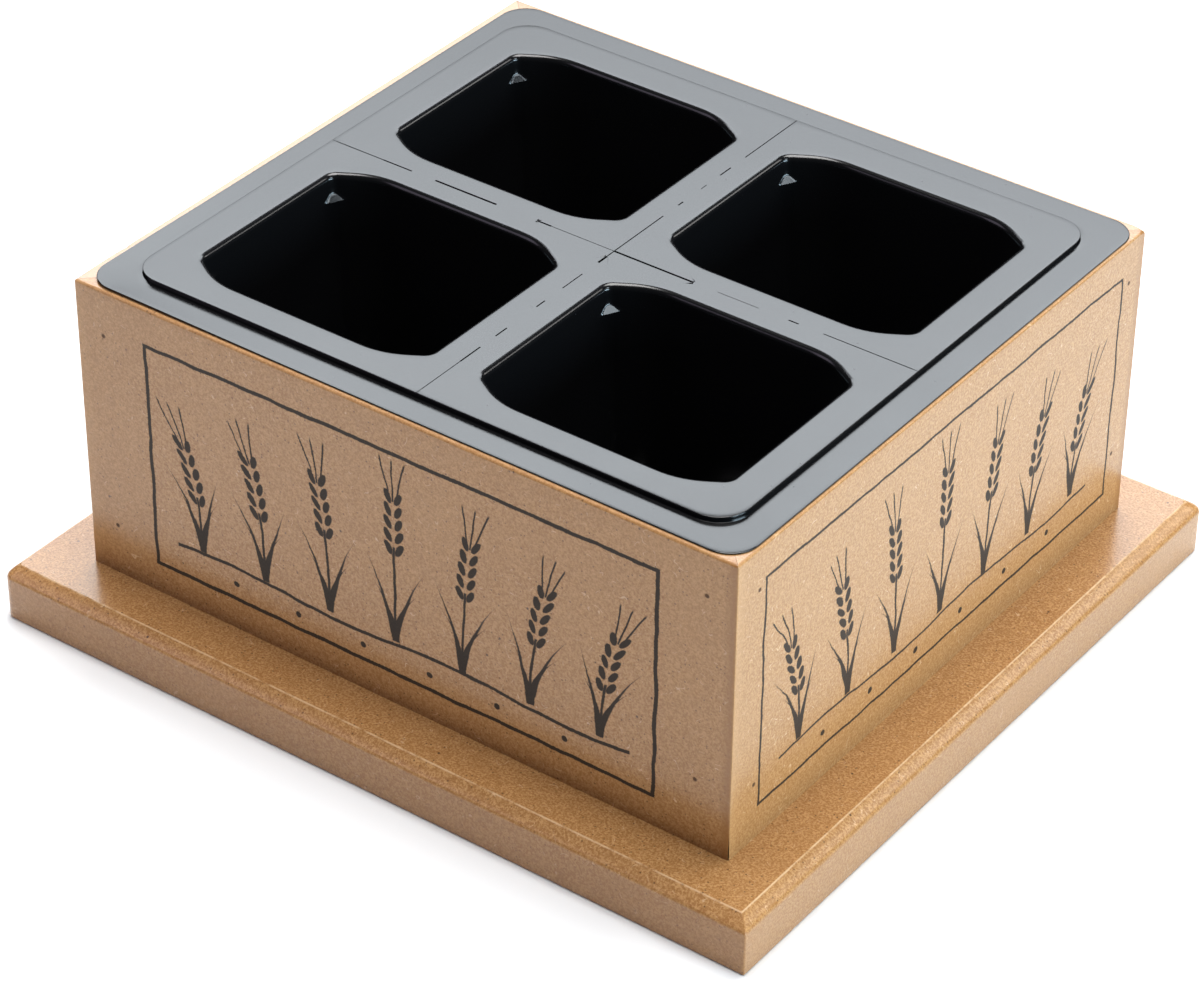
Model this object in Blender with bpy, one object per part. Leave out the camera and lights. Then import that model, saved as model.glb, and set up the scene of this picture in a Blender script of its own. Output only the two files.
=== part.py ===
# Four-cell seedling tray of black plastic, resting in a fibreboard planter box on its base board.
# The origin is at the centre of the board's underside, the printed front of the box faces -Y.

import math

import bmesh
import bpy
import numpy as np

MM = 0.001

# Distance kept between neighbouring pieces that touch
GAP = 0.3 * MM

# Base board
BOARD_WIDTH = 191.3 * MM
BOARD_DEPTH = 176.4 * MM
BOARD_THICKNESS = 12.7 * MM
BOARD_TOP_EASING = 2.8 * MM
BOARD_FOOT_EASING = 1.2 * MM

# Box of four walls, mitred at the corners and cut from the same stock as the board
BOX_WIDTH = 164.0 * MM
BOX_DEPTH = 148.1 * MM
BOX_HEIGHT = 70.9 * MM
WALL_THICKNESS = BOARD_THICKNESS

# Formed sheet of the tray: a flat flange round a raised centre
SHEET = 0.6 * MM
FLANGE_WIDTH = 162.4 * MM
FLANGE_DEPTH = 147.2 * MM
FLANGE_CORNER = 6.5 * MM
FLANGE_CENTRE = (0.4 * MM, -0.2 * MM)
RAISED_WIDTH = 148.6 * MM
RAISED_DEPTH = 132.2 * MM
RAISED_CORNER = 5.0 * MM
RAISED_CENTRE = (0.4 * MM, -1.0 * MM)
STEP_HEIGHT = 1.05 * MM
STEP_RUN = 0.8 * MM

# Cells: the opening is measured where the flat top ends and the rim's rounding starts
CELL_WIDTH = 61.8 * MM
CELL_DEPTH = 53.9 * MM
CELL_HEIGHT = 57.0 * MM
CELL_PITCH_X = 72.3 * MM
CELL_PITCH_Y = 64.1 * MM
CELLS_CENTRE = (0.7 * MM, -1.8 * MM)
CELL_CUT_X = 9.0 * MM
CELL_CUT_Y = 5.5 * MM
CELL_CUT_ROUNDING = 4.0 * MM
CELL_DRAFT = math.radians(6.0)
RIM_RADIUS = 1.5 * MM
FLOOR_RADIUS = 2.5 * MM
RIM_STEPS = 3
FLOOR_STEPS = 3

BOX_FOOT = BOARD_THICKNESS + GAP
BOX_TOP = BOARD_THICKNESS + BOX_HEIGHT
FLANGE_UNDERSIDE = BOX_TOP + GAP
FLANGE_TOP = FLANGE_UNDERSIDE + SHEET
RAISED_TOP = FLANGE_TOP + STEP_HEIGHT


def clear_scene():
    for item in list(bpy.data.objects):
        bpy.data.objects.remove(item, do_unlink=True)


def make_collection(name):
    group = bpy.data.collections.new(name)
    bpy.context.scene.collection.children.link(group)
    return group


def make_material(name, colour, roughness):
    material = bpy.data.materials.new(name)
    material.use_nodes = True
    surface = material.node_tree.nodes["Principled BSDF"]
    surface.inputs["Base Color"].default_value = (*colour, 1.0)
    surface.inputs["Roughness"].default_value = roughness
    surface.inputs["Metallic"].default_value = 0.0
    return material


def add_object(name, bm, group, material=None):
    bmesh.ops.recalc_face_normals(bm, faces=bm.faces)
    mesh = bpy.data.meshes.new(name)
    bm.to_mesh(mesh)
    bm.free()
    item = bpy.data.objects.new(name, mesh)
    if material is not None:
        mesh.materials.append(material)
    group.objects.link(item)
    return item


def as_guide(item):
    item.hide_render = True
    item.display_type = "WIRE"
    return item


def join(item, guide, operation):
    boolean = item.modifiers.new(operation.title() + " " + guide.name, "BOOLEAN")
    boolean.operation = operation
    boolean.solver = "EXACT"
    boolean.object = guide


def rounded_outline(corners, radius, steps):
    # Walks a convex polygon counter-clockwise and rounds each corner by an arc that touches both
    # sides. Returns the points with the outward directions there.
    points = []
    normals = []
    count = len(corners)
    for index, corner in enumerate(corners):
        corner = np.array(corner)
        before = corner - np.array(corners[index - 1])
        after = np.array(corners[(index + 1) % count]) - corner
        start = math.atan2(before[1], before[0]) - math.pi / 2
        turn = math.atan2(before[0] * after[1] - before[1] * after[0], before @ after)
        back = radius * math.tan(turn / 2)
        tangent = corner - before / np.linalg.norm(before) * back
        centre = tangent - radius * np.array((math.cos(start), math.sin(start)))
        for step in range(steps + 1):
            angle = start + turn * step / steps
            normal = np.array((math.cos(angle), math.sin(angle)))
            points.append(centre + radius * normal)
            normals.append(normal)
    return np.array(points), np.array(normals)


def rectangle_outline(width, depth, radius, steps=6):
    x, y = width / 2, depth / 2
    return rounded_outline([(x, -y), (x, y), (-x, y), (-x, -y)], radius, steps)


def cell_outline():
    # A rectangle whose corners are cut off, longer along X than along Y, and softened
    x, y = CELL_WIDTH / 2, CELL_DEPTH / 2
    cut_x, cut_y = CELL_CUT_X, CELL_CUT_Y
    corners = [
        (x - cut_x, -y), (x, cut_y - y), (x, y - cut_y), (x - cut_x, y),
        (cut_x - x, y), (-x, y - cut_y), (-x, cut_y - y), (cut_x - x, -y),
    ]
    return rounded_outline(corners, CELL_CUT_ROUNDING, 3)


def loft(name, outline, rings, centre, group, material=None):
    # Skins a closed body through rings of one outline. Each ring is (draw, inset, height): draw
    # scales the outline down by that much at its sides, inset moves it in along its normals.
    points, normals = outline
    half = points.max(axis=0)
    bm = bmesh.new()
    levels = []
    for draw, inset, height in rings:
        flat = points * (half - draw) / half - inset * normals + np.array(centre)
        levels.append([bm.verts.new((x, y, height)) for x, y in flat])
    for lower, upper in zip(levels, levels[1:]):
        for index in range(len(lower)):
            bm.faces.new((lower[index - 1], lower[index], upper[index], upper[index - 1]))
    # The drafted sides twist a little, so they are split into flat triangles
    bmesh.ops.triangulate(bm, faces=bm.faces)
    bm.faces.new(levels[0])
    bm.faces.new(levels[-1])
    return add_object(name, bm, group, material)


def make_board(group, material):
    bm = bmesh.new()
    bmesh.ops.create_cube(bm, size=1.0)
    bmesh.ops.scale(bm, vec=(BOARD_WIDTH, BOARD_DEPTH, BOARD_THICKNESS), verts=bm.verts)
    bmesh.ops.translate(bm, vec=(0, 0, BOARD_THICKNESS / 2), verts=bm.verts)
    middle = BOARD_THICKNESS / 2
    for above, easing, segments in ((True, BOARD_TOP_EASING, 3), (False, BOARD_FOOT_EASING, 2)):
        rim = [edge for edge in bm.edges if all((v.co.z > middle) == above for v in edge.verts)]
        bmesh.ops.bevel(bm, geom=rim, offset=easing, segments=segments, profile=0.4, affect="EDGES")
    return add_object("base_board", bm, group, material)


def make_wall(name, length, span, turn, group, material):
    # A board standing across -Y at half the span, its ends mitred at 45 degrees, then turned about
    # the box's middle to its own side.
    bm = bmesh.new()
    bmesh.ops.create_cube(bm, size=1.0)
    height = BOX_TOP - BOX_FOOT
    bmesh.ops.scale(bm, vec=(length, WALL_THICKNESS, height), verts=bm.verts)
    setback = GAP / math.sqrt(2)
    for vert in bm.verts:
        mitre = WALL_THICKNESS if vert.co.y > 0 else 0.0
        vert.co.x -= math.copysign(mitre + setback, vert.co.x)
    middle = (0, (WALL_THICKNESS - span) / 2, BOX_FOOT + height / 2)
    bmesh.ops.translate(bm, vec=middle, verts=bm.verts)
    wall = add_object(name, bm, group, material)
    wall.rotation_euler = (0, 0, turn)
    return wall


def make_box(group, material):
    make_wall("wall_front", BOX_WIDTH, BOX_DEPTH, 0.0, group, material)
    make_wall("wall_right", BOX_DEPTH, BOX_WIDTH, math.pi / 2, group, material)
    make_wall("wall_back", BOX_WIDTH, BOX_DEPTH, math.pi, group, material)
    make_wall("wall_left", BOX_DEPTH, BOX_WIDTH, -math.pi / 2, group, material)


def cell_rings(skin):
    # The cell's inside for skin 0, and its outside for the sheet's thickness: the rim's rounding,
    # the drafted wall, and the rounding at the floor, as (draw, inset, height).
    rim = RIM_RADIUS - skin
    floor = FLOOR_RADIUS + skin
    sweep = math.pi / 2 - CELL_DRAFT
    wall_top = RAISED_TOP - RIM_RADIUS
    wall_foot = RAISED_TOP - CELL_HEIGHT + FLOOR_RADIUS
    draw = (wall_top - wall_foot) * math.tan(CELL_DRAFT)
    rings = []
    for step in range(RIM_STEPS + 1):
        angle = sweep * step / RIM_STEPS
        rings.append((0.0, rim * math.sin(angle), wall_top + rim * math.cos(angle)))
    face = rim * math.sin(sweep)
    for step in range(FLOOR_STEPS + 1):
        angle = sweep * (1 - step / FLOOR_STEPS)
        inset = face + floor * (math.sin(sweep) - math.sin(angle))
        rings.append((draw, inset, wall_foot - floor * math.cos(angle)))
    return rings


def make_tray(group, guides, material):
    raised = rectangle_outline(RAISED_WIDTH, RAISED_DEPTH, RAISED_CORNER)
    flange = rectangle_outline(FLANGE_WIDTH, FLANGE_DEPTH, FLANGE_CORNER)
    slab = [(0, 0, FLANGE_UNDERSIDE), (0, 0, FLANGE_TOP)]
    tray = loft("cell_tray", flange, slab, FLANGE_CENTRE, group, material)

    rise = [(0, -STEP_RUN - SHEET / 2, FLANGE_UNDERSIDE + SHEET / 2),
            (0, -STEP_RUN, FLANGE_TOP), (0, 0, RAISED_TOP)]
    join(tray, as_guide(loft("raised_centre", raised, rise, RAISED_CENTRE, guides)), "UNION")
    hollow = [(0, SHEET / 2 - STEP_RUN, FLANGE_UNDERSIDE - SHEET),
              (0, SHEET / 2 - STEP_RUN, FLANGE_UNDERSIDE),
              (0, SHEET / 2, RAISED_TOP - SHEET)]
    join(tray, as_guide(loft("raised_hollow", raised, hollow, RAISED_CENTRE, guides)), "DIFFERENCE")

    sides = (-0.5, 0.5)
    places = [(CELLS_CENTRE[0] + column * CELL_PITCH_X, CELLS_CENTRE[1] + row * CELL_PITCH_Y)
              for row in sides for column in sides]
    body_rings = [(0.0, 0.0, RAISED_TOP - SHEET / 2)] + cell_rings(SHEET)[1:]
    inside_rings = [(0.0, 0.0, RAISED_TOP + SHEET)] + cell_rings(0.0)
    for name, rings, operation in (("cell_body", body_rings, "UNION"),
                                   ("cell_inside", inside_rings, "DIFFERENCE")):
        for place in places:
            join(tray, as_guide(loft(name, cell_outline(), rings, place, guides)), operation)
    return tray


def main():
    clear_scene()
    planter = make_collection("seedling_tray_planter")
    guides = make_collection("guides")
    fibreboard = make_material("fibreboard", (0.52, 0.36, 0.23), 0.75)
    plastic = make_material("black_plastic", (0.012, 0.012, 0.013), 0.25)
    make_board(planter, fibreboard)
    make_box(planter, fibreboard)
    make_tray(planter, guides, plastic)


main()
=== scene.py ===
import math

import bmesh
import bpy
import numpy as np
from mathutils import Matrix, Vector


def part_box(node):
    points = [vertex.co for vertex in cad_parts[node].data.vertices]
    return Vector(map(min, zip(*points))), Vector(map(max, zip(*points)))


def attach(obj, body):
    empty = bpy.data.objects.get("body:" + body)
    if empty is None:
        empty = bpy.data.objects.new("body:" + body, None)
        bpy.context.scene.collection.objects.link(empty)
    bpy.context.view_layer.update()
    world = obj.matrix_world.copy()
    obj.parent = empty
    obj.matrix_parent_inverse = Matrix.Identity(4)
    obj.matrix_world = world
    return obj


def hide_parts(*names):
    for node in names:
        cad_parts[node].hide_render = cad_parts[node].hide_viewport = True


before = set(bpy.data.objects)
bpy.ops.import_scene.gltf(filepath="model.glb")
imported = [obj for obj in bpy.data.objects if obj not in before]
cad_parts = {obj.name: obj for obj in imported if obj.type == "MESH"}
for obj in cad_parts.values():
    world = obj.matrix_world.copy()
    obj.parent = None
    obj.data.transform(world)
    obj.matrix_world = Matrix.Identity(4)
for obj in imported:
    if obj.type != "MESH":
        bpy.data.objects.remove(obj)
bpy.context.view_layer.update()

mm = 0.001

# Where things stand, in millimetres, read from the frame
boardLow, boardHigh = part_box("base_board")
boardTop = boardHigh.z / mm
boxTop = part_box("wall_front")[1].z / mm
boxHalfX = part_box("wall_right")[1].x / mm
boxHalfY = -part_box("wall_front")[0].y / mm
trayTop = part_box("cell_tray")[1].z / mm


# Small tools for meshes

def gridFaces(rows, columns, closed, flip=False):
    # Quads between neighbouring rows of a grid; the last column joins the first where closed
    across = columns if closed else columns - 1
    row, column = np.meshgrid(np.arange(rows - 1), np.arange(across), indexing="ij")
    after = (column + 1) % columns
    quads = np.stack([row * columns + column, row * columns + after,
                      (row + 1) * columns + after, (row + 1) * columns + column], -1).reshape(-1, 4)
    return quads[:, ::-1] if flip else quads


def addPiece(name, parts, material, nodes, smoothAngle=40, weld=1e-6):
    # Joins grids into one mesh, each part being (points, faces), and welds the seams they share
    shift = 0
    points = []
    faces = []
    for partPoints, partFaces in parts:
        points.append(partPoints.reshape(-1, 3))
        faces.append(partFaces + shift)
        shift += len(points[-1])
    mesh = bpy.data.meshes.new(name)
    mesh.from_pydata(np.concatenate(points).tolist(), [], np.concatenate(faces).tolist())
    bm = bmesh.new()
    bm.from_mesh(mesh)
    bmesh.ops.remove_doubles(bm, verts=bm.verts, dist=weld)
    bmesh.ops.dissolve_degenerate(bm, edges=bm.edges, dist=weld)
    bm.to_mesh(mesh)
    bm.free()
    mesh.shade_smooth()
    mesh.set_sharp_from_angle(angle=math.radians(smoothAngle))
    mesh.materials.append(material)
    piece = bpy.data.objects.new(name, mesh)
    bpy.context.scene.collection.objects.link(piece)
    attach(piece, "root")
    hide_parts(*nodes)
    return piece


def roundedOutline(corners, radii, steps):
    # Points and outward normals of a convex polygon, counter-clockwise, whose corners are arcs
    points = []
    normals = []
    for index, radius in enumerate(radii):
        corner = np.array(corners[index], float)
        before = corner - corners[index - 1]
        after = corners[(index + 1) % len(corners)] - corner
        start = math.atan2(before[1], before[0]) - math.pi / 2
        turn = math.atan2(before[0] * after[1] - before[1] * after[0], before @ after)
        tangent = corner - before / np.linalg.norm(before) * radius * math.tan(turn / 2)
        centre = tangent - radius * np.array((math.cos(start), math.sin(start)))
        angle = start + turn * np.linspace(0, 1, steps + 1)
        normal = np.stack([np.cos(angle), np.sin(angle)], -1)
        points.append(centre + radius * normal)
        normals.append(normal)
    return np.concatenate(points), np.concatenate(normals)


def runLength(points):
    # A closed outline with its first point repeated, and the length run up to each point
    closed = np.vstack([points, points[:1]])
    steps = np.linalg.norm(np.diff(closed, axis=0), axis=1)
    return closed, np.concatenate([[0], np.cumsum(steps)])


def readAt(places, length, values):
    # Two columns of values, read between the points at given lengths
    return np.stack([np.interp(places, length, values[:, k]) for k in (0, 1)], -1)


def resample(points, normals, places):
    # Reads a closed outline and its normals at given places, counted as lengths along it
    closed, length = runLength(points)
    places = places % length[-1]
    lean = readAt(places, length, np.vstack([normals, normals[:1]]))
    return readAt(places, length, closed), lean / np.linalg.norm(lean, axis=1, keepdims=True)


def wander(x, y, seed, scale, waves=6):
    # A smooth uneven value between -1 and 1: the mean of sines that run in seeded directions
    draw = np.random.default_rng(seed)
    turns = draw.uniform(0, math.pi, waves)
    phases = draw.uniform(0, 6.28, waves)
    paces = draw.uniform(0.6, 1.7, waves)
    total = 0
    for turn, phase, pace in zip(turns, phases, paces):
        total = total + np.sin((x * math.cos(turn) + y * math.sin(turn)) * pace / scale + phase)
    return total / waves


# Materials: shader maths is written as expressions on sockets

class Wire:
    # The output of a node, to be used in expressions: each operator adds its Math node
    def __init__(self, paint, socket):
        self.paint = paint
        self.socket = socket

    def maths(self, operation, *others, flip=False):
        values = [self, *others]
        if flip:
            values.reverse()
        node = self.paint.add("ShaderNodeMath", {"operation": operation}, dict(enumerate(values)))
        return Wire(self.paint, node.outputs[0])

    def __add__(self, other):
        return self.maths("ADD", other)

    def __mul__(self, other):
        return self.maths("MULTIPLY", other)

    def __sub__(self, other):
        return self.maths("SUBTRACT", other)

    def __rsub__(self, other):
        return self.maths("SUBTRACT", other, flip=True)

    def __truediv__(self, other):
        return self.maths("DIVIDE", other)

    def __rtruediv__(self, other):
        return self.maths("DIVIDE", other, flip=True)

    def __pow__(self, other):
        return self.maths("POWER", other)

    def __neg__(self):
        return self * -1

    def __abs__(self):
        return self.maths("ABSOLUTE")

    __radd__ = __add__
    __rmul__ = __mul__

    def least(self, other):
        return self.maths("MINIMUM", other)

    def most(self, other):
        return self.maths("MAXIMUM", other)

    def root(self):
        return self.maths("SQRT")

    def sine(self):
        return self.maths("SINE")

    def floor(self):
        return self.maths("FLOOR")

    def under(self, edge, soft):
        # 1 well below the edge and 0 above it, with a soft border
        return ((edge - self) / soft + 0.5).most(0.0).least(1.0)

    def over(self, edge, soft):
        # 1 well above the edge and 0 below it
        return ((self - edge) / soft + 0.5).most(0.0).least(1.0)


class Paint:
    # One material: its nodes, and the few ways of adding to them
    def __init__(self, name):
        self.material = bpy.data.materials.new(name)
        self.material.use_nodes = True
        self.tree = self.material.node_tree
        self.surface = self.tree.nodes["Principled BSDF"]

    def add(self, kind, settings=None, inputs=None):
        node = self.tree.nodes.new(kind)
        for key, value in (settings or {}).items():
            setattr(node, key, value)
        for key, value in (inputs or {}).items():
            self.feed(node.inputs[key], value)
        return node

    def feed(self, socket, value):
        if isinstance(value, Wire):
            self.tree.links.new(value.socket, socket)
        else:
            socket.default_value = value

    def set(self, **values):
        # Sockets of the surface shader, an underscore standing for a space
        for key, value in values.items():
            self.feed(self.surface.inputs[key.replace("_", " ")], value)

    def place(self):
        # Object coordinates in millimetres
        where = self.add("ShaderNodeTexCoord").outputs["Object"]
        return self.vector("SCALE", {0: Wire(self, where), "Scale": 1 / mm})

    def vector(self, operation, inputs):
        node = self.add("ShaderNodeVectorMath", {"operation": operation}, inputs)
        return Wire(self, node.outputs["Vector"])

    def split(self, vector):
        node = self.add("ShaderNodeSeparateXYZ", inputs={0: vector})
        return [Wire(self, node.outputs[k]) for k in range(3)]

    def noise(self, vector, scale, detail, roughness):
        node = self.add("ShaderNodeTexNoise", {"noise_dimensions": "3D"},
                        {"Vector": vector, "Scale": scale, "Detail": detail, "Roughness": roughness})
        return Wire(self, node.outputs["Fac"])

    def cells(self, vector, scale):
        # Distance to the nearest of scattered points, and that point's own random value
        node = self.add("ShaderNodeTexVoronoi", {"feature": "F1"}, {"Vector": vector, "Scale": scale})
        tone = self.split(Wire(self, node.outputs["Color"]))[0]
        return Wire(self, node.outputs["Distance"]), tone

    def mix(self, factor, first, second):
        node = self.add("ShaderNodeMix", {"data_type": "RGBA"},
                        {0: factor, 6: self.colour(first), 7: self.colour(second)})
        return Wire(self, node.outputs[2])

    def colour(self, value):
        return value if isinstance(value, Wire) else (*value, 1.0)

    def bump(self, height, distance, strength=1.0):
        inputs = {"Height": height, "Distance": distance, "Strength": strength}
        return Wire(self, self.add("ShaderNodeBump", inputs=inputs).outputs[0])


# Fibreboard: fine mottle, pale fibres, dark specks, and the print on the walls

fibreboard = {
    "base": (0.418, 0.198, 0.064),
    "pale": (0.535, 0.290, 0.112),
    "dark": (0.318, 0.138, 0.039),
    "fibre": (0.80, 0.56, 0.33),
    "topLitTone": (0.66, 0.47, 0.33),
    "speck": (0.055, 0.022, 0.009),
    "ink": (0.015, 0.0125, 0.011),
    "fineMottle": (1.9, 4.0, 0.72),           # scale, detail and roughness of each noise
    "middleMottle": (0.75, 3.0, 0.6),
    "broadMottle": (0.05, 2.0, 0.5),
    "clumps": (0.09, 2.0, 0.5),
    "softness": (0.20, 0.15),                 # where the walls' mottle and the board's differ: border of the
    "plainness": (0.22, 0.0),                 # fine mottle, share of the plain colour, and strength of the
    "blotches": (0.34, 0.50),                 # middle mottle
    "fibreNets": ((0.0, 0.30), (37.0, 0.22)),   # shift and scale of each net that the fibres follow
    "fibreWidth": (0.0055, 0.007),
    "fibreRarity": (0.69, 0.05),
    "specks": (0.30, 0.085, 0.86),            # scale of their cells, radius, and how rare they are
    "smallSpecks": (1.1, 0.22, 0.82),
    "topHighlight": (0.1, 0.35, 0.55, 0.1),      # painted highlight on the walls' top ends, how strong on each side: right, back, left, front
    "cornerShade": (1.6, 2.0, 0.75),              # painted shade at each wall's right end, beside the upright edge: reach, softness and strength
    "cornerHighlight": (1.5, 3.0, 0.4),                # and painted highlight at its left end
    "roughness": 0.6,
    "sheen": 0.24,
    "grain": 0.05 * mm,
}

printing = {  # the drawn frame and the row of grain inside it, in millimetres on the wall
    "frames": [  # right, back, left, front: middle, half width, foot, head and half line width of the frame
        (0.85, 65.5, 7.9, 62.9, 0.33), (0.0, 64.3, 7.7, 62.3, 0.44),
        (-0.3, 65.0, 7.5, 62.5, 0.40), (0.0, 64.1, 7.65, 62.0, 0.48)],
    "soft": 0.16,                             # border of the ink lines
    "ground": 16.0,                           # height of the ears' feet
    "pitch": 17.0,                            # from one ear to the next
    "beside": 3,                              # ears on each side of the middle one
    "leaning": 0.0022,
    "tallest": 37.0,
    "shorter": 3.4,                           # how much each ear further out loses
    "stem": 0.34,
    "head": 15.5,
    "grain": 3.1,                             # rise from one pair of grains to the next
    "grainOut": 1.35,
    "grainHalf": (0.80, 1.75),
    "grainTilt": math.radians(27),
    "awn": (0.22, 5.5, 0.24),                 # half width, how far down the head it starts, and spread
    "blades": ((0.16, 0.011, 19.0), (-0.05, 0.034, 13.0)),   # spread, curve and height of each leaf
    "bladeHalf": 0.85,
    "groundWave": (0.11, 0.7),
    "groundHalf": 58.0,
    "dot": 0.75,
    "dotsBelow": 4.6,
    "dotsHalf": 52.0,
    "wobble": 1.5,                            # slow and fine unevenness of the drawn lines
    "ragged": 0.36,
}


def fibreColour(paint, place, which):
    # Mottle of three sizes, pale curled fibres where a slow noise crosses its middle, and dark specks.
    # which is 0 on the walls and 1 on the base board, where the mottle is stronger.
    look = fibreboard
    fine = paint.noise(place, *look["fineMottle"])
    middle = paint.noise(place, *look["middleMottle"])
    broad = paint.noise(place, *look["broadMottle"])
    tone = paint.mix(fine.over(0.5, look["softness"][which]), look["dark"], look["pale"])
    tone = paint.mix(look["plainness"][which], tone, look["base"])
    tone = paint.mix(middle.over(0.56, 0.26) * look["blotches"][which], tone, look["dark"])
    tone = paint.mix(broad.over(0.5, 0.55) * 0.16, tone, look["pale"])
    fibres = 0.0
    clump = paint.noise(place, *look["clumps"]) * 0.10
    for shift, scale in look["fibreNets"]:
        moved = paint.vector("ADD", {0: place, 1: (shift, shift * 0.7, shift * 1.3)})
        curl = abs(paint.noise(moved, scale, 1.0, 0.4) - 0.5).under(*look["fibreWidth"])
        fibres = curl * (paint.noise(moved, 0.5, 1.0, 0.5) + clump).over(*look["fibreRarity"]) + fibres
    fibres = fibres.least(1.0)
    tone = paint.mix(fibres * 0.48, tone, look["fibre"])
    scale, radius, rarity = look["specks"]
    reach, chance = paint.cells(place, scale)
    specks = reach.under(radius, 0.04) * chance.over(rarity, 0.02)
    scale, radius, rarity = look["smallSpecks"]
    reach, chance = paint.cells(place, scale)
    specks = specks.most(reach.under(radius, 0.12) * chance.over(rarity, 0.05) * 0.75)
    tone = paint.mix(specks * 0.85, tone, look["speck"])
    relief = fine + middle * 0.3 - specks * 0.6 + fibres * 0.25
    return tone, relief


def grainPrint(u, v, frameLine):
    # Ink cover on a wall: u runs along it from the middle and v up from the board, in millimetres.
    # A hand-drawn frame, and inside it a row of ears of grain on a wavy line.
    look = printing
    soft = look["soft"]
    centre, halfWidth, low, high, line = frameLine
    # The frame: how far the point is outside a rectangle, as a thin band on its border
    outX = abs(u - centre) - halfWidth
    outY = abs(v - (high + low) / 2) - (high - low) / 2
    border = abs(outX.most(outY)).under(line, soft)
    # Ears: the nearest stalk's number, and the place on it, which leans outward with height
    stalk = (u / look["pitch"] + 0.5).floor().most(-look["beside"]).least(look["beside"])
    up = v - look["ground"]
    lean = stalk * look["leaning"]
    side = abs(u - stalk * look["pitch"] - lean * up * up)
    height = look["tallest"] - abs(stalk) * look["shorter"]
    headFoot = height - look["head"]
    stem = side.under(look["stem"], soft) * up.under(headFoot + 2.0, 0.3) * up.over(0.0, 0.3)
    # Grains: rows of tilted ellipses, mirrored about the stem
    climb = up - headFoot
    row = (climb / look["grain"]).floor()
    inRow = climb - (row + 0.5) * look["grain"]
    out = side - look["grainOut"]
    c, s = math.cos(look["grainTilt"]), math.sin(look["grainTilt"])
    halfWide, halfLong = look["grainHalf"]
    ellipse = (((out * c - inRow * s) / halfWide) ** 2.0 + ((out * s + inRow * c) / halfLong) ** 2.0).root()
    grains = ellipse.under(1.0, 0.22) * climb.over(0.0, 0.1) * up.under(height, 0.1)
    # Awns: straight thin hairs that spread from the ear's upper part
    awn, awnDown, awnSpread = look["awn"]
    awnRun = up - height + awnDown
    awns = abs(side - awnRun * awnSpread).under(awn, 0.14).most(side.under(awn, 0.14))
    awns = awns * awnRun.over(3.0, 0.3) * awnRun.under(13.0, 0.8)
    # Blades: curved leaves from the foot, narrow to a point
    blades = 0.0
    for spread, curve, top in look["blades"]:
        wide = (1.0 - up / top) * look["bladeHalf"]
        leaf = (abs(side - up * spread - up * up * curve) - wide).under(0.0, 0.22)
        blades = leaf * up.over(0.0, 0.3) + blades
    wave, swell = look["groundWave"]
    ground = abs(up + 0.9 - (u * wave).sine() * swell).under(line * 0.9, soft)
    ground = ground * abs(u).under(look["groundHalf"], 0.3)
    # Seeds: a dot between every two ears, low over the ground line
    between = abs(u - ((u / look["pitch"]).floor() + 0.5) * look["pitch"])
    dots = (between ** 2.0 + (up + look["dotsBelow"]) ** 2.0).root().under(look["dot"], 0.2)
    dots = dots * abs(u).under(look["dotsHalf"], 0.3)
    drawing = stem.most(grains).most(awns).most(blades).most(ground).most(dots)
    return border.most(drawing.least(1.0))


pinPlaces = [  # sunk pin heads near the corners of each wall: right, back, left, front
    ((-66.9, 61.2), (-66.5, 14.0), (69.0, 60.4), (68.4, 17.5)),
    ((-74.6, 60.8), (-75.0, 15.1), (75.5, 59.7), (74.2, 12.9)),
    ((-67.3, 60.1), (-67.9, 13.4), (66.5, 61.0), (67.1, 16.2)),
    ((-75.3, 59.9), (-75.0, 12.5), (75.4, 61.2), (73.8, 16.4)),
]


def pinHeads(u, v, places):
    # Round spots of half a millimetre's radius
    spots = 0.0
    for along, height in places:
        gap = ((u - along) ** 2.0 + (v - height) ** 2.0).root()
        spots = gap.under(0.5, 0.3) + spots
    return spots


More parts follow.
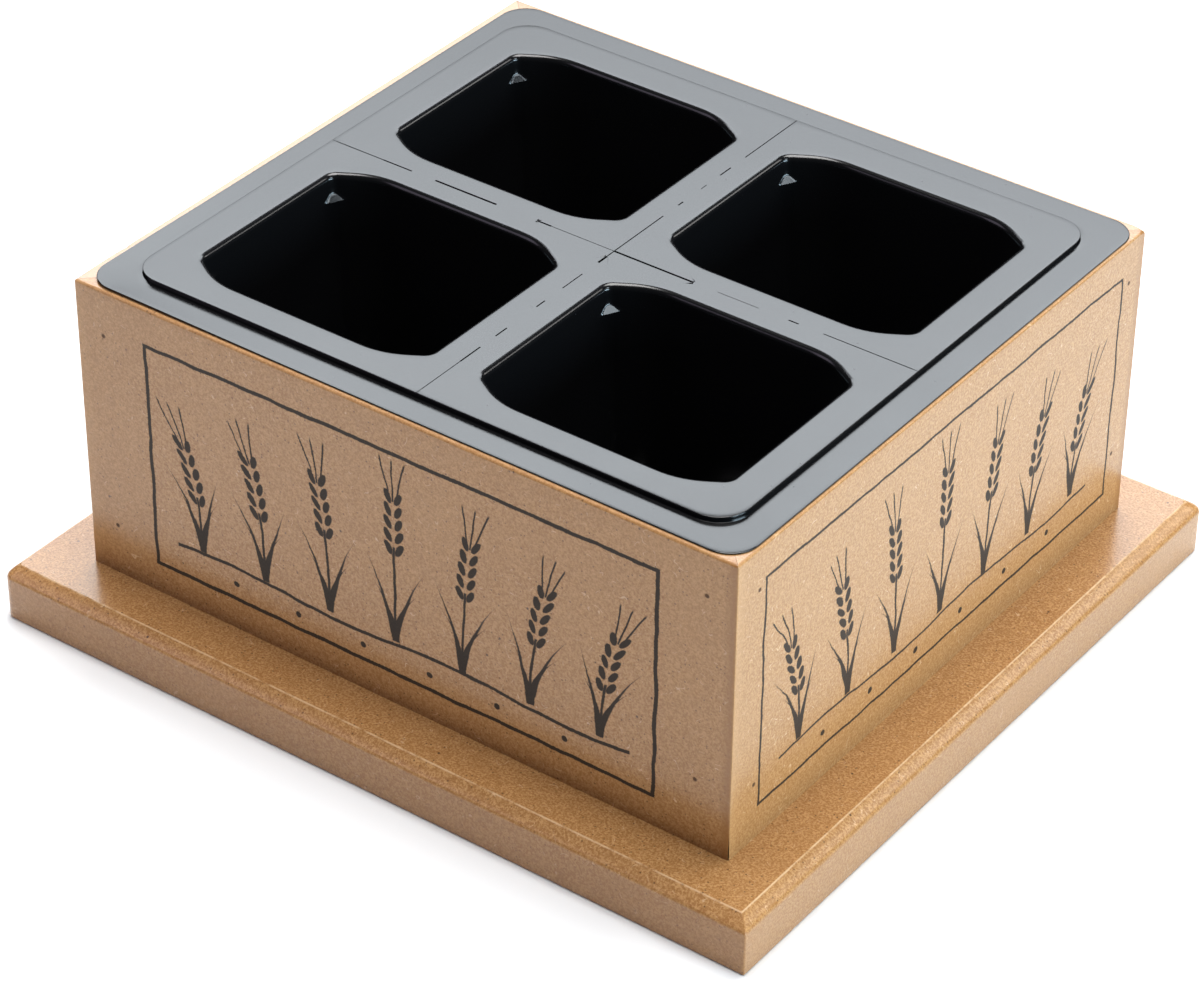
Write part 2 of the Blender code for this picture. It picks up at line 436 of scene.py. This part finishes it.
def fibreMaterial(name, side=None, out=0.0):
    # side, where there is one, says which outer face carries the print: 0 right, 1 back, 2 left, 3 front
    look = fibreboard
    paint = Paint(name)
    place = paint.place()
    tone, relief = fibreColour(paint, place, 1 if side is None else 0)
    x, y, z = paint.split(place)
    if side is None:
        # The board's cut sides are a little darker than its faces, and a broken pale line runs along the
        # crease of its easing
        right, back, left, front = boardReach - board["easeIn"]
        crease = (right - x).least(back - y).least(x + left).least(y + front)
        paleCrease = abs(crease).under(0.16, 0.2) * z.over(boardTop - 0.4, 0.2)
        paleCrease = paleCrease * paint.noise(place, 0.35, 2.0, 0.6).over(0.42, 0.25)
        tone = paint.mix(z.under(boardTop - 2.2, 1.0) * 0.35, tone, look["dark"])
        tone = paint.mix(paleCrease * 0.6, tone, look["fibre"])
        paint.set(Coat_Weight=1.0)
    else:
        u = (y, -x, -y, x)[side]
        depth = (x, y, -x, -y)[side]
        high = z - boardTop
        wobble = paint.noise(place, 0.11, 2.0, 0.5) * printing["wobble"] - printing["wobble"] / 2
        ragged = paint.noise(place, 2.2, 2.0, 0.6) * printing["ragged"] - printing["ragged"] / 2
        outer = depth.over(out - 0.25, 0.1)
        wear = paint.noise(place, 3.2, 3.0, 0.7).over(0.28, 0.3) * 0.16 + 0.80
        ink = grainPrint(u + wobble + ragged, high + wobble * 0.8 + ragged, printing["frames"][side])
        ink = ink * outer * wear
        pins = pinHeads(u, high + ragged * 0.6, pinPlaces[side]) * outer
        # Painted shade and painted highlight beside the upright edges at the walls' ends, and painted
        # highlight on the top ends
        half = boxHalfX if side in (1, 3) else boxHalfY
        # Painted shade: each wall's right end is darkened beside its upright edge
        reach, soft, strength = look["cornerShade"]
        tone = paint.mix(u.over(half - reach, soft) * strength, tone, look["dark"])
        # Painted highlight: each wall's left end is made paler beside its upright edge
        reach, soft, strength = look["cornerHighlight"]
        tone = paint.mix(u.under(reach - half, soft) * strength, tone, look["pale"])
        # Painted highlight: the walls' top ends are painted paler, by a different amount on each side
        topLit = high.over(boxTop - boardTop - 0.15, 0.1) * look["topHighlight"][side]
        tone = paint.mix(topLit, tone, look["topLitTone"])
        tone = paint.mix(ink, tone, look["ink"])
        tone = paint.mix(pins * 0.9, tone, look["speck"])
        relief = relief - pins * 2.0
        paint.set(Coat_Weight=1.0 - (ink * 0.85).most(pins * 0.8))      # the ink dulls the board's sheen
    paint.set(Base_Color=tone, Roughness=look["roughness"], Normal=paint.bump(relief, look["grain"]))
    paint.set(Specular_IOR_Level=0.1, Coat_Roughness=look["sheen"], Coat_IOR=1.5)
    return paint.material


# Base board: rings of a rectangle carried from the middle of the underside to the middle of the top

board = {
    "proud": (0.2, 0.0, 1.0, 0.0),            # how far right, back, left and front stand off the frame's
    "corners": (0.4, 2.6, 2.2, 2.2),          # rounding of the near, right, far and left corner
    "easeIn": (3.0, 2.8, 1.9, 3.0),           # width of the eased top edge on each side
    "easeDown": 2.5,
    "easeTurn": ((0.0, 0.3, 1.0), (86, 47, 36)),   # how the easing leans on its way up, in degrees
    "foot": 0.45,
    "waver": 0.10,
    "perSide": 64,
    "flatRings": 8,
    "footRings": 6,
    "sideRings": 6,
    "easeRings": 14,
}

boardReach = np.array([boardHigh.x, boardHigh.y, -boardLow.x, -boardLow.y]) / mm + board["proud"]


def rectangleLoop(reach, radii, perSide):
    # A rectangle that reaches right, back, left and front, with its own rounding at each corner: points
    # and outward normals, the same number along each side and crowded at the corners
    right, back, left, front = reach
    corners = [(right, -front), (right, back), (-left, back), (-left, -front)]
    points, normals = roundedOutline(corners, radii, 6)
    half = math.pi * np.array(radii) / 4
    sides = np.array([front + back, left + right] * 2) - radii - np.roll(radii, -1) + half + np.roll(half, -1)
    starts = half[0] + np.concatenate([[0], np.cumsum(sides)[:-1]])
    step = np.linspace(0, 1, perSide, endpoint=False)
    step = step - 0.92 * np.sin(2 * math.pi * step) / (2 * math.pi)
    return resample(points, normals, (starts[:, None] + sides[:, None] * step).ravel())


def ringSurface(reach, radii, perSide, rings):
    # Rounded rectangles stacked up, in millimetres. Each ring is (inset of the sides, height, shrink, waver):
    # shrink draws a flat end towards its middle, waver moves a hand-sanded edge in and out.
    levels = []
    for inset, height, shrink, waver in rings:
        inset = np.broadcast_to(inset, 4)
        around = np.maximum(radii - 0.35 * inset.mean(), 0.15)
        loop, normals = rectangleLoop(reach - inset, around, perSide)
        moved = waver * (1 + wander(loop[:, 0], loop[:, 1], seed=3, scale=5.0))
        loop = loop - normals * moved[:, None]
        levels.append(np.column_stack([loop * (1 - shrink), np.full(len(loop), height)]))
    return np.array(levels) * mm, gridFaces(len(levels), 4 * perSide, True)


def buildBoard():
    look = board
    ease = np.array(look["easeIn"])
    foot = look["foot"]
    shoulder = boardTop - look["easeDown"]
    flatEnds = np.linspace(1, 0, look["flatRings"] + 1)[:-1] ** 1.4
    rings = [(foot, 0.0, shrink, 0) for shrink in flatEnds]
    for turn in np.linspace(0, math.pi / 2, look["footRings"]):
        rings.append((foot * (1 - math.sin(turn)), foot * (1 - math.cos(turn)), 0, 0))
    rings += [(0.0, level, 0, 0) for level in np.linspace(foot, shoulder, look["sideRings"] + 1)[1:]]
    # The top easing: a curve that leans in smoothly from the side and ends at a crisp crease
    lean = np.radians(np.interp(np.linspace(0, 1, look["easeRings"] + 1)[1:], *look["easeTurn"]))
    inward, upward = np.cumsum(np.cos(lean)), np.cumsum(np.sin(lean))
    for a, b in zip(inward / inward[-1], upward / upward[-1]):
        rings.append((ease * a, boardTop - look["easeDown"] * (1 - b), 0, look["waver"] * a * a))
    rings += [(ease, boardTop, shrink, 0) for shrink in flatEnds[::-1]]
    shell = ringSurface(boardReach, np.array(look["corners"]), look["perSide"], rings)
    material = fibreMaterial("rawFibreboard")
    piece = addPiece("baseBoard", [shell], material, ["base_board"], smoothAngle=16)
    print("board done", len(piece.data.polygons), "faces")


# Walls: a section carried along each side, its ends cut at 45 degrees

walls = {
    "thick": 12.7,
    "proud": (0.2, 0.4, 0.5, 0.35),           # how far right, back, left and front stand off the frame's
    "arris": (0.6, 0.35, 0.35, 0.7),          # sanded rounding of the top outer edge on each side
    "arrisBlend": 8.0,                        # how far from a corner two sides' roundings blend
    "arrisWander": 0.2,
    "corner": 0.38,                           # rounding of the upright edges
    "stations": 120,
    "steps": (34, 8, 6, 11, 4),               # up the outside, round the arris, over, down the inside, back
    "joint": 0.05,
    "openJoint": 0.16,                        # the near joint gapes at its foot
    "openHeight": 6.5,
}

nicks = [  # chips in the top outer edge: place in plan, how far along the edge, how deep
    ((82.2, 74.4), 1.3, 0.75),
    ((-82.5, -59.0), 1.1, 0.45),
    ((20.0, -74.4), 1.0, 0.20),
    ((82.2, 31.0), 1.6, 0.18),
]


def arrisSize(side, line, ends, x, y):
    # Rounding of the top outer edge along a wall: each side's own value, shared with its neighbour at
    # the corner, times a slow wander in plan, and the chips
    own = walls["arris"]
    size = np.full(len(line), own[side])
    for end, neighbour in zip(ends, (side - 1, (side + 1) % 4)):
        share = np.clip(1 - abs(line - end) / walls["arrisBlend"], 0, 1)
        size = size + (own[neighbour] - own[side]) / 2 * share * share * (3 - 2 * share)
    size = size * (1 + walls["arrisWander"] * wander(x, y, seed=11, scale=6.0))
    for (nickX, nickY), reach, deep in nicks:
        size = size + deep * np.exp(-((x - nickX) ** 2 + (y - nickY) ** 2) / reach ** 2)
    return size


def roundUpright(x, y, low, high, front, radius):
    # Draws the ends of a wall's outer skin onto an arc: the offset from an inner corner is cut to length
    innerX = np.clip(x, low + radius, high - radius)
    offX = x - innerX
    length = np.sqrt(offX ** 2 + radius ** 2)
    keep = np.where(abs(offX) > 1e-9, radius / np.maximum(length, 1e-9), 1.0)
    return innerX + offX * keep, y + (front + radius - y) * (1 - keep)


def buildWall(side, reach):
    # Sides count right, back, left, front. Local x runs along the wall and -y is its outer side.
    look = walls
    name, node = [("rightWall", "wall_right"), ("backWall", "wall_back"),
                  ("leftWall", "wall_left"), ("frontWall", "wall_front")][side]
    out, farEnd, nearEnd = reach[side], reach[(side + 1) % 4], reach[side - 1]
    turn = (side + 1) * math.pi / 2
    c, t = round(math.cos(turn)), round(math.sin(turn))
    foot, top, thick = boardTop, boxTop, look["thick"]
    # Stations, crowded at the ends
    s = np.linspace(-1, 1, look["stations"])
    s = np.sign(s) * (1 - (1 - abs(s)) ** 1.9)
    line = (farEnd - nearEnd) / 2 + s * (farEnd + nearEnd) / 2
    arris = arrisSize(side, line, (-nearEnd, farEnd), line * c + out * t, line * t - out * c)[:, None]
    # The section, as depth from the outer face and height, each a fixed part and a share of the rounding
    upSteps, arcSteps, overSteps, downSteps, backSteps = look["steps"]
    up = np.linspace(0, 1, upSteps)
    arc = np.linspace(0, math.pi / 2, arcSteps + 1)[1:]
    over = np.linspace(0, 1, overSteps + 1)[1:]
    down = np.linspace(0, 1, downSteps + 1)[1:]
    back = np.linspace(1, 0, backSteps + 2)[1:-1]
    depth = np.concatenate([0 * up, 0 * arc, thick * over, thick + 0 * down, thick * back])
    depthShare = np.concatenate([0 * up, 1 - np.cos(arc), 1 - over, 0 * down, 0 * back])
    height = np.concatenate([foot + (top - foot) * up, top + 0 * arc, top + 0 * over,
                             top + (foot - top) * down, foot + 0 * back])
    heightShare = np.concatenate([-up, np.sin(arc) - 1, 0 * over, 0 * down, 0 * back])
    d = depth + depthShare * arris
    z = height + heightShare * arris
    joint = look["joint"] / math.sqrt(2)
    gape = look["openJoint"] * np.clip((foot + look["openHeight"] - z) / (look["openHeight"] * 0.7), 0, 1)
    low = -(nearEnd - d) + joint + (gape if side == 0 else 0)
    high = farEnd - d - joint - (gape if side == 3 else 0)
    x = low + (s[:, None] + 1) / 2 * (high - low)
    y = d - out
    radius = look["corner"] * np.clip(1 - d / arris, 0, 1)
    x, y = roundUpright(x, y, -(nearEnd - d), farEnd - d, y, radius)
    points = np.stack([x * c - y * t, x * t + y * c, z], -1) * mm
    parts = [(points, gridFaces(len(s), points.shape[1], True, flip=True))]
    for row, flip in ((0, False), (-1, True)):
        # The mitred end: a fan of rings from its edge to its middle
        rim = points[row]
        middle = rim.mean(axis=0)
        fan = np.array([middle + (rim - middle) * share for share in (1.0, 0.5, 0.0)])
        parts.append((fan, gridFaces(len(fan), len(rim), True, flip=flip)))
    material = fibreMaterial(name + "Print", side, out)
    piece = addPiece(name, parts, material, [node], smoothAngle=50)
    print(name, "done", len(piece.data.polygons), "faces")


def buildWalls():
    reach = np.array([boxHalfX, boxHalfY, boxHalfX, boxHalfY]) + walls["proud"]
    for side in range(4):
        buildWall(side, reach)


# Tray: one formed sheet. Each quarter is a set of loops from the score lines and the raised edge
# in to the cell's rim, down its wall and over its floor; outside them the step and the flange.

tray = {
    "sheet": 0.25,
    "lower": 0.45,                           # the thin sheet lies on the walls, under the frame's solid one
    "cross": (0.325, -1.285),                # where the score lines meet, in plan
    "raised": (74.0, 74.6, 66.9, 65.3),      # reach right, left, back, front
    "raisedCorner": 7.0,
    "flange": (81.25, 80.95, 74.7, 72.2),
    "flangeCorner": 6.5,
    "step": 1.15,
    "stepRun": 0.34,
    "stepShape": ((0.25, 0.012), (0.44, 0.06), (0.55, 0.17), (0.62, 0.42),    # out and down, as shares
                  (0.70, 0.74), (0.78, 0.90), (0.90, 0.975), (1.15, 1.0)),
    "flangeShape": ((0.15, 0.0), (0.35, 0.0), (0.6, 0.0), (0.85, 0.0),        # share of the way out, and drop
                    (0.96, 0.0), (0.988, 0.02), (1.0, 0.10)),
    "curl": (0.38, (-81.0, -73.0), 42.0),    # lift of the flange's left corner: how much, where, how wide
    "waver": 0.03,                           # the sheet is a little uneven
    "cell": (61.8, 53.9),
    "cellAt": (36.15, 32.05),
    "cut": (9.0, 5.5),
    "cutRounding": (3.9, 19.0),              # at the ends of the Y sides and of the X sides
    "deep": 56.4,
    "draft": math.radians(6.0),
    "rim": 1.4,
    "floor": 1.6,                            # below the drafted cut's rounding, or the ring crosses itself
    "lugSide": (0.876, 0.483),               # the way a lug's slope faces, outward in plan
    "lugReach": (35.2, 33.9),                # how far out it starts and ends
    "lugDrop": (4.0, 5.6),
    "lugBow": (3.8, 0.004),                  # the middle of its slightly bowed face, and how much it bows
    "perSide": 50,
    "flatShares": (0.12, 0.3, 0.5, 0.7, 0.86, 1.0),       # rings of the flat, from its edge to the rim
    "floorShares": (0.97, 0.75, 0.5, 0.25, 0.0),          # rings of the floor, in to its middle
    "groove": (0.05, 0.27),                  # half width of the faintest and of the open score lines
    "grooveDepth": 1.5,
    "markEdge": 0.05,                        # how abruptly a score mark starts and ends
}

score = {  # broken lines from the crossing outward, each as from, to and depth share
    "right": ((0.0, 20.0, 1.0), (26.0, 36.0, 0.12), (43.3, 45.7, 0.6), (51.7, 73.9, 0.35)),
    "left": ((0.0, 16.0, 0.18), (16.1, 19.9, 0.8), (30.5, 46.7, 1.0), (53.0, 60.9, 0.65), (61.0, 74.5, 0.4)),
    "back": ((0.0, 17.3, 0.4), (22.7, 24.4, 0.5), (31.0, 33.0, 0.2), (38.0, 41.9, 0.5), (47.3, 66.8, 0.35)),
    "front": ((0.0, 2.4, 0.4), (2.5, 5.5, 1.0), (11.0, 17.7, 0.35), (23.7, 26.5, 0.5), (36.3, 40.0, 0.5),
              (45.0, 51.5, 0.55), (51.6, 65.2, 0.22)),
}


def quarters(reach):
    # Signs and reaches of the four quarters about the crossing, counter-clockwise
    right, left, back, front = reach
    return (1, 1, right, back), (-1, 1, left, back), (-1, -1, left, front), (1, -1, right, front)


def sideSteps(count):
    # 0 to 1 along one side, crowded at both ends
    step = np.linspace(0, 1, count + 1)
    return step - 0.8 * np.sin(2 * math.pi * step) / (2 * math.pi)


def scorePlaces(reach, marks):
    # Places and depth shares along a score line: both ends of each mark, the rest spread between them
    edge = tray["markEdge"]
    margin = 0.2
    places = [0.0, reach]
    for start, end, _ in marks:
        ends = (start - edge, start + edge, end - edge, end + edge)
        places += [place for place in ends if margin < place < reach - margin]
    places.sort()
    while len(places) <= tray["perSide"]:
        widest = int(np.argmax(np.diff(places)))
        places.insert(widest + 1, (places[widest] + places[widest + 1]) / 2)
    places = np.array(places)
    depth = np.zeros(len(places))
    for start, end, share in marks:
        depth = np.where((places > start) & (places < end) | (places == 0) & (start == 0), share, depth)
    return places, depth


def quarterEdge(reachX, reachY, radius):
    # The outer two sides of a quarter, from (reachX, 0) round its one rounded corner to (0, reachY)
    step = sideSteps(tray["perSide"])
    arc = radius * math.pi / 4
    points = []
    for reach, other, swap in ((reachY, reachX, False), (reachX, reachY, True)):
        straight = reach - radius
        place = step * (straight + arc)
        turn = np.maximum(place - straight, 0) / radius
        a = other - radius + radius * np.cos(turn)
        b = np.minimum(place, straight) + radius * np.sin(turn)
        side = np.stack([a, b], -1)
        points.append(side[::-1, ::-1] if swap else side)
    return np.concatenate([points[0][:-1], points[1]])


def wholeLoop(reach, radius):
    # All the way round, counter-clockwise from the right, as four quarters about the crossing
    loops = []
    for signX, signY, reachX, reachY in quarters(reach):
        quarter = quarterEdge(reachX, reachY, radius) * (signX, signY)
        if signX * signY < 0:
            quarter = quarter[::-1]
        loops.append(quarter[:-1])
    return np.concatenate(loops)


def quarterBoundary(reachX, reachY, radius, placesX, placesY, inset):
    # The closed boundary of a quarter, counter-clockwise: outer sides, then the two score lines, each
    # drawn in by its own inset along the line
    insetX, insetY = inset
    outer = quarterEdge(reachX, reachY, radius)
    outer[0, 1], outer[-1, 0] = insetX[-1], insetY[-1]
    down = np.column_stack([insetY[::-1], np.maximum(placesY[::-1], insetX[0])])
    along = np.column_stack([np.maximum(placesX, insetY[0]), insetX])
    return np.concatenate([outer[:-1], down[:-1], along[:-1]])


def cellLoop():
    # The rim's outline and normals, with the same count on each side as the quarter's boundary
    halfX, halfY = tray["cell"][0] / 2, tray["cell"][1] / 2
    cutX, cutY = tray["cut"]
    corners = np.array([(halfX, cutY - halfY), (halfX, halfY - cutY), (halfX - cutX, halfY),
                        (cutX - halfX, halfY), (-halfX, halfY - cutY), (-halfX, cutY - halfY),
                        (cutX - halfX, -halfY), (halfX - cutX, -halfY)])
    small, large = tray["cutRounding"]
    points, normals = roundedOutline(corners, [small, small, large, large] * 2, 12)
    closed, length = runLength(points)
    # The crowded part of each corner is where the cut meets the Y side, as a place along the outline
    fine = np.linspace(0, length[-1], 4001)
    at = readAt(fine, length, closed)
    middles = []
    for signX, signY in ((1, -1), (1, 1), (-1, 1), (-1, -1)):
        target = np.array([signX * (halfX - 1.2), signY * (halfY - cutY + 0.8)])
        middles.append(fine[np.argmin(np.linalg.norm(at - target, axis=1))])
    step = sideSteps(tray["perSide"])[:-1]
    places = []
    for start, end in zip(middles, middles[1:] + middles[:1]):
        places.append(start + ((end - start) % length[-1]) * step)
    return resample(points, normals, np.concatenate(places))


def cellRings():
    # (draw, inset, drop) of the cell's inside from the rim to the floor
    rim, floor, draft = tray["rim"], tray["floor"], tray["draft"]
    sweep = math.pi / 2 - draft
    wallFoot = tray["deep"] - floor
    rings = [(0.0, rim * math.sin(a), rim * (1 - math.cos(a))) for a in np.linspace(0, sweep, 11)[1:]]
    face = rim * math.sin(sweep)
    lugTop, lugFoot = tray["lugDrop"]
    drops = np.concatenate([np.linspace(rim, lugTop, 3)[1:], np.linspace(lugTop, lugFoot, 7)[1:],
                            [lugFoot + 0.25], np.linspace(lugFoot, wallFoot, 8)[1:]])
    rings += [((drop - rim) * math.tan(draft), face, drop) for drop in drops]
    draw = (wallFoot - rim) * math.tan(draft)
    for a in np.linspace(sweep, 0, 7)[1:]:
        rings.append((draw, face + floor * (math.sin(sweep) - math.sin(a)), wallFoot + floor * math.cos(a)))
    return rings


def quarterSheet(signX, signY, reachX, reachY, top):
    # One quarter of the sheet: rows of points from its boundary over the flat and down to the cell's floor
    look = tray
    perSide = look["perSide"]
    radius = look["raisedCorner"]
    placesX, depthX = scorePlaces(reachX, score["right" if signX > 0 else "left"])
    placesY, depthY = scorePlaces(reachY, score["back" if signY > 0 else "front"])
    wide = [np.interp(depth, (0, 1), look["groove"]) for depth in (depthX, depthY)]
    shut = [0 * half for half in wide]
    edge = quarterBoundary(reachX, reachY, radius, placesX, placesY, shut)
    inner = quarterBoundary(reachX, reachY, radius, placesX, placesY, wide)
    rim, normals = cellLoop()
    half = np.array(look["cell"]) / 2
    at = np.array(look["cellAt"])
    level = np.full(4 * perSide, top)
    sink = np.zeros(4 * perSide)
    sink[2 * perSide:3 * perSide] = depthY[:0:-1]
    sink[3 * perSide:] = depthX[:-1]
    rows = [np.column_stack([edge, top - sink * look["grooveDepth"]]), np.column_stack([inner, level])]
    for share in look["flatShares"]:
        rows.append(np.column_stack([inner + (rim + at - inner) * share, level]))
    facing = np.array(look["lugSide"])
    lugMiddle, bow = look["lugBow"]
    for draw, inset, drop in cellRings():
        loop = rim * (half - draw) / half - inset * normals
        if drop > look["lugDrop"][0]:
            # A lug: whatever lies beyond its sloping, then upright, face is drawn back onto it
            across = abs(loop) @ (-facing[1], facing[0]) - lugMiddle
            limit = np.interp(drop, look["lugDrop"], look["lugReach"]) + bow * across ** 2
            beyond = np.maximum(abs(loop) @ facing - limit, 0)
            loop = loop - np.sign(loop) * facing * beyond[:, None]
        rows.append(np.column_stack([loop + at, level - drop]))
    last = rows[-1]
    middle = np.array([*at, last[0, 2]])
    for share in look["floorShares"]:
        rows.append(middle + (last - middle) * share)
    points = np.array(rows) * (signX, signY, 1) + (*look["cross"], 0)
    return points, gridFaces(len(rows), 4 * perSide, True, flip=signX * signY < 0)


def rimSheet(top):
    # The step down from the raised centre, the flange, and its trimmed edge
    look = tray
    raised = wholeLoop(look["raised"], look["raisedCorner"])
    flange = wholeLoop(look["flange"], look["flangeCorner"])
    tangent = np.roll(raised, -1, axis=0) - np.roll(raised, 1, axis=0)
    normals = np.stack([tangent[:, 1], -tangent[:, 0]], -1)
    normals /= np.linalg.norm(normals, axis=1, keepdims=True)
    rows = [(raised, top, 0.0)]
    for out, down in look["stepShape"]:
        rows.append((raised + normals * out * look["stepRun"], top - down * look["step"], 0.0))
    foot, low, _ = rows[-1]
    for share, drop in look["flangeShape"]:
        rows.append((foot + (flange - foot) * share, low - drop, share))
    points = np.array([np.column_stack([flat, np.full(len(flat), height)]) for flat, height, _ in rows])
    points = points + (*look["cross"], 0)
    lift, (liftX, liftY), spread = look["curl"]
    far = (points[..., 0] - liftX) ** 2 + (points[..., 1] - liftY) ** 2
    outward = np.array([share for _, _, share in rows])[:, None]
    points[..., 2] += lift * outward ** 1.5 * np.exp(-far / spread ** 2)
    return points[::-1], gridFaces(len(rows), len(raised), True)


plastic = {
    "black": (0.0045, 0.0045, 0.005),
    "grit": (0.09, 0.09, 0.10),
    "roughness": 0.13,
    "grain": 0.02 * mm,
}


def plasticMaterial():
    # Glossy black with a slow haze, fine dust, and grit on the flat top but not in the cells
    look = plastic
    paint = Paint("blackPlastic")
    place = paint.place()
    z = paint.split(place)[2]
    haze = paint.noise(place, 0.035, 3.0, 0.6)
    dust = paint.noise(place, 5.0, 2.0, 0.7)
    level = z.over(trayTop - 2.2, 0.3)
    rough = look["roughness"] + level * 0.03 + (haze - 0.5) * 0.08
    near, chance = paint.cells(place, 0.42)
    grit = near.under(0.055, 0.04) * chance.over(0.80, 0.02) * level
    tone = paint.mix(grit * 0.5, look["black"], look["grit"])
    paint.set(Base_Color=tone, Roughness=rough + grit * 0.3 + dust * 0.05, Specular_IOR_Level=0.5,
              Normal=paint.bump(dust * 0.25 + haze, look["grain"], 0.5))
    return paint.material


def buildTray():
    look = tray
    top = trayTop - look["lower"]
    parts = [rimSheet(top)]
    for signX, signY, reachX, reachY in quarters(look["raised"]):
        parts.append(quarterSheet(signX, signY, reachX, reachY, top))
    for points, _ in parts:
        # A slow waver of the top, which fades out down the cells
        fade = np.clip((points[..., 2] - top + 6.0) / 4.0, 0, 1)
        points[..., 2] += look["waver"] * fade * wander(points[..., 0], points[..., 1], seed=5, scale=26.0)
        points *= mm
    material = plasticMaterial()
    piece = addPiece("cellTray", parts, material, ["cell_tray"], smoothAngle=35, weld=2e-6)
    skin = piece.modifiers.new("Sheet", "SOLIDIFY")
    skin.thickness = look["sheet"] * mm
    skin.offset = -1.0
    skin.use_rim = True
    skin.use_even_offset = False
    print("tray done", len(piece.data.polygons), "faces")


# Stage: pale floor, soft lights and the camera

stage = {
    "floor": 6.0,
    "floorTone": (0.93, 0.93, 0.93),
    "world": (0.9, 0.95, 1.0),
    "worldStrength": 0.01,
}

lights = [  # name, azimuth and elevation it shines from, distance, size, glow of its face
    ("backStrip1", -144.0, 24.0, 1.5, (1.7, 0.105), (2.5, 2.65, 2.8)),
    ("backStrip2", -144.0, 28.0, 1.5, (1.7, 0.105), (3.1, 3.3, 3.5)),
    ("backStrip3", -144.0, 32.0, 1.5, (1.7, 0.105), (4.1, 4.35, 4.6)),
    ("backStrip4", -144.0, 36.0, 1.5, (1.7, 0.105), (4.9, 5.2, 5.5)),
    ("backStrip5", -144.0, 40.0, 1.5, (1.7, 0.105), (6.1, 6.5, 6.8)),
    ("backStrip6", -144.0, 44.0, 1.5, (1.7, 0.105), (6.4, 6.8, 7.2)),
    ("rightBack", 146.0, 33.0, 1.5, (0.45, 0.28), (4.6, 4.5, 4.4)),
    ("leftFront", -50.0, 34.0, 1.5, (0.7, 0.7), (1.25, 1.1, 1.4)),
    ("rightHigh", 87.0, 37.5, 1.5, (0.40, 0.36), (7.0, 7.9, 8.6)),
    ("rightLow", 92.0, 12.0, 1.5, (0.9, 0.3), (12.4, 16.8, 19.8)),
    ("topPanel", 180.0, 84.0, 1.5, (0.9, 0.9), (11.6, 11.5, 11.35)),
]

view = {
    "azimuth": 35.988,
    "elevation": 35.245,
    "roll": -0.595,
    "lens": 124.45,
    "boxWidth": 164 * mm,
    "distance": 5.4567,                      # in widths of the box, as are the next two
    "right": 0.0171,
    "down": 0.0514,
}


def direction(azimuth, elevation):
    # Unit vector towards a point seen from the object; azimuth 0 is -Y, 90 is +X
    a, e = math.radians(azimuth), math.radians(elevation)
    return Vector((math.sin(a) * math.cos(e), -math.cos(a) * math.cos(e), math.sin(e)))


def buildStage():
    look = stage
    mesh = bpy.data.meshes.new("floor")
    half = look["floor"] / 2
    corners = [(-half, -half, 0), (half, -half, 0), (half, half, 0), (-half, half, 0)]
    mesh.from_pydata(corners, [], [(0, 1, 2, 3)])
    paint = Paint("floorPaper")
    paint.set(Base_Color=(*look["floorTone"], 1.0), Roughness=0.8, Specular_IOR_Level=0.1)
    mesh.materials.append(paint.material)
    floor = bpy.data.objects.new("floor", mesh)
    bpy.context.scene.collection.objects.link(floor)
    world = bpy.data.worlds.new("studio")
    world.use_nodes = True
    background = world.node_tree.nodes["Background"]
    background.inputs["Color"].default_value = (*look["world"], 1.0)
    background.inputs["Strength"].default_value = look["worldStrength"]
    bpy.context.scene.world = world
    for name, azimuth, elevation, distance, size, glow in lights:
        data = bpy.data.lights.new(name, "AREA")
        data.shape = "RECTANGLE"
        data.size, data.size_y = size
        data.color = [tone / max(glow) for tone in glow]
        data.energy = math.pi * size[0] * size[1] * max(glow)
        lamp = bpy.data.objects.new(name, data)
        lamp.location = direction(azimuth, elevation) * distance
        lamp.rotation_euler = lamp.location.to_track_quat("Z", "Y").to_euler()
        bpy.context.scene.collection.objects.link(lamp)


def buildCamera():
    # Looks at the middle of the board's top, turned by the roll and moved aside by right and down
    look = view
    back = direction(look["azimuth"], look["elevation"])
    level = (-back).cross(Vector((0, 0, 1))).normalized()
    plumb = (-back).cross(level)
    c, s = math.cos(math.radians(look["roll"])), math.sin(math.radians(look["roll"]))
    right = level * c + plumb * s
    down = plumb * c - level * s
    data = bpy.data.cameras.new("photoView")
    data.sensor_width = 36.0
    data.lens = look["lens"]
    data.clip_start = 0.01
    camera = bpy.data.objects.new("photoView", data)
    away = back * look["distance"] - right * look["right"] - down * look["down"]
    place = Vector((0, 0, boardTop * mm)) + away * look["boxWidth"]
    turn = Matrix((right, -down, back)).transposed().to_4x4()
    camera.matrix_world = Matrix.Translation(place) @ turn
    bpy.context.scene.collection.objects.link(camera)
    bpy.context.scene.camera = camera


buildBoard()
buildWalls()
buildTray()
buildStage()
buildCamera()
bpy.context.scene.view_settings.view_transform = "Standard"
print("scene done")
